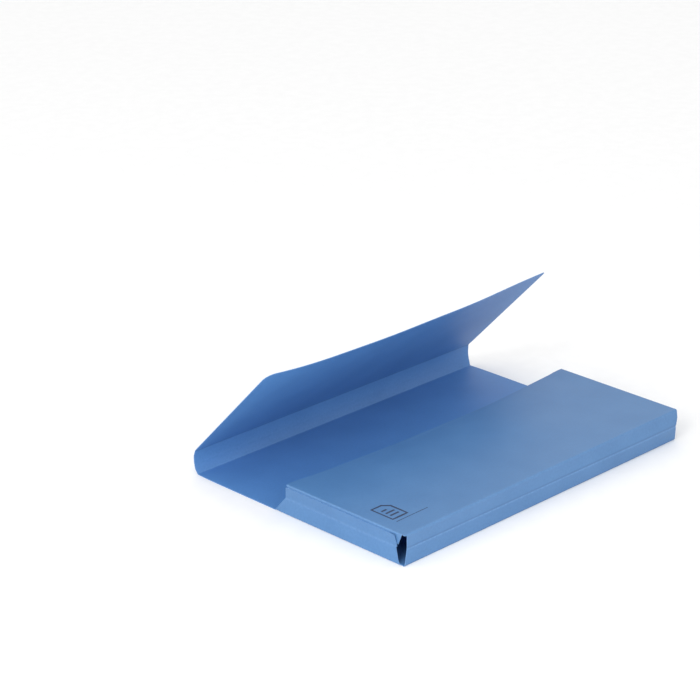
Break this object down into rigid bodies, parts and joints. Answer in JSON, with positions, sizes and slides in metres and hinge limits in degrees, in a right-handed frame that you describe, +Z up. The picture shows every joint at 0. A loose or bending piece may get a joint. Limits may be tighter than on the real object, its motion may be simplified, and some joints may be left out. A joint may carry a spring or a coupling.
{
  "type": "document wallet",
  "caption": "Creased card document wallet with an expanding gusseted pocket, a spine strip and a full-width flap, lying open on its back panel.",
  "frame": {"origin": "centre of the bounding box at rest, on the plane the back panel lies on", "axes": "+X along the base crease, +Y from the base crease to the spine crease, +Z up out of the back panel"},
  "size_m": [0.356, 0.249, 0.1192],
  "materials": {
    "card": "satin",
    "adhesive": "matte",
    "print": "satin"
  },
  "bodies": {
    "back": {"back_panel": "card"},
    "spine_lower_half": {"spine_lower": "card"},
    "spine_upper_half": {"spine_upper": "card"},
    "flap_panel": {"flap": "card"},
    "base_rear_half": {"base_gusset_rear": "card"},
    "base_front_half": {"base_gusset_front": "card"},
    "pocket": {"pocket_front": "card"},
    "left_rear_half": {"left_gusset_rear": "card"},
    "left_front_half": {"left_gusset_front": "card"},
    "left_tab": {"left_side_tab": "card", "left_glue_line": "adhesive"},
    "right_rear_half": {"right_gusset_rear": "card"},
    "right_front_half": {"right_gusset_front": "card"},
    "right_tab": {"right_side_tab": "card", "right_glue_line": "adhesive"}
  },
  "joints": [
    {"name": "spine_fold", "type": "hinge", "parent": "back", "child": "spine_lower_half", "pos_m": [0, 0.11962, 0.00125], "axis": [1, 0, 0], "range_deg": [-69, 6]},
    {"name": "spine_middle_fold", "type": "hinge", "parent": "spine_lower_half", "child": "spine_upper_half", "pos_m": [0, 0.1233, 0.01083], "axis": [1, 0, 0], "range_deg": [-27.1, 2.4]},
    {"name": "flap_fold", "type": "hinge", "parent": "spine_upper_half", "child": "flap_panel", "pos_m": [0, 0.12223, 0.02103], "axis": [1, 0, 0], "range_deg": [-37, 33.9]},
    {"name": "base_fold", "type": "hinge", "parent": "back", "child": "base_rear_half", "pos_m": [0, -0.12327, 0.00125], "axis": [-1, 0, 0], "range_deg": [-80, 0]},
    {"name": "base_middle_fold", "type": "hinge", "parent": "base_rear_half", "child": "base_front_half", "pos_m": [0, -0.12327, 0.0145], "axis": [-1, 0, 0], "range_deg": [0, 160]},
    {"name": "pocket_fold", "type": "hinge", "parent": "base_front_half", "child": "pocket", "pos_m": [0, -0.12327, 0.02775], "axis": [-1, 0, 0], "range_deg": [-80, 0]},
    {"name": "left_gusset_fold", "type": "hinge", "parent": "back", "child": "left_rear_half", "pos_m": [-0.17625, -0.05, 0.00125], "axis": [0, -1, 0], "range_deg": [-80, 0]},
    {"name": "left_gusset_middle_fold", "type": "hinge", "parent": "left_rear_half", "child": "left_front_half", "pos_m": [-0.17625, -0.05, 0.0145], "axis": [0, -1, 0], "range_deg": [0, 160]},
    {"name": "left_tab_fold", "type": "hinge", "parent": "pocket", "child": "left_tab", "pos_m": [-0.17625, -0.05, 0.02775], "axis": [0, -1, 0], "range_deg": [0, 80]},
    {"name": "right_gusset_fold", "type": "hinge", "parent": "back", "child": "right_rear_half", "pos_m": [0.17625, -0.05, 0.00125], "axis": [0, 1, 0], "range_deg": [-80, 0]},
    {"name": "right_gusset_middle_fold", "type": "hinge", "parent": "right_rear_half", "child": "right_front_half", "pos_m": [0.17625, -0.05, 0.0145], "axis": [0, 1, 0], "range_deg": [0, 160]},
    {"name": "right_tab_fold", "type": "hinge", "parent": "pocket", "child": "right_tab", "pos_m": [0.17625, -0.05, 0.02775], "axis": [0, 1, 0], "range_deg": [0, 80]}
  ],
  "couplings": [
    {"joint": "spine_middle_fold", "follows": "spine_fold", "ratio": 0.3913},
    {"joint": "base_middle_fold", "follows": "base_fold", "ratio": -2},
    {"joint": "pocket_fold", "follows": "base_fold", "ratio": 1},
    {"joint": "left_gusset_fold", "follows": "base_fold", "ratio": 1},
    {"joint": "left_gusset_middle_fold", "follows": "base_fold", "ratio": -2},
    {"joint": "left_tab_fold", "follows": "base_fold", "ratio": -1},
    {"joint": "right_gusset_fold", "follows": "base_fold", "ratio": 1},
    {"joint": "right_gusset_middle_fold", "follows": "base_fold", "ratio": -2},
    {"joint": "right_tab_fold", "follows": "base_fold", "ratio": -1}
  ]
}
